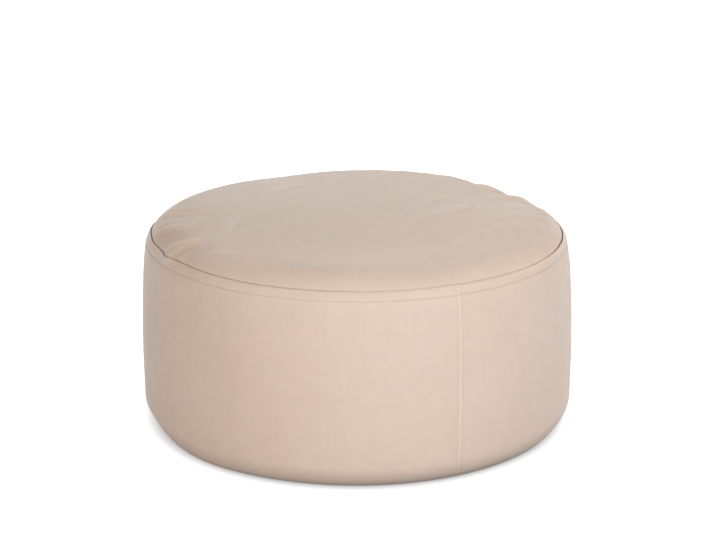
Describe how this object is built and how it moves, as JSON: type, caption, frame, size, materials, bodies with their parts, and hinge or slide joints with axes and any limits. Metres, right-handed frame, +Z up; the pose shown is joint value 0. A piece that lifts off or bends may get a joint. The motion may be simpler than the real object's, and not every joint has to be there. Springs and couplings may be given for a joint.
{
  "type": "inflatable pouf",
  "caption": "Low round pouf blown up firm in a smooth woven cloth cover, with a crowned top panel, a topstitched seam round its rim and an upright seam down its wall.",
  "frame": {"origin": "middle of the flat base, on the floor", "axes": "+Z up through the middle of the crown; -Y is the front that the picture shows, with the upright seam to the right of it; +X to the right"},
  "size_m": [0.53, 0.53, 0.2486],
  "materials": {
    "wall_cloth": "matt, fine plain weave",
    "top_cloth": "matt, fine plain weave",
    "base_cloth": "matt, plain weave"
  },
  "bodies": {
    "root": {"side_wall": "wall_cloth", "top_panel": "top_cloth", "base_panel": "base_cloth"}
  },
  "joints": []
}
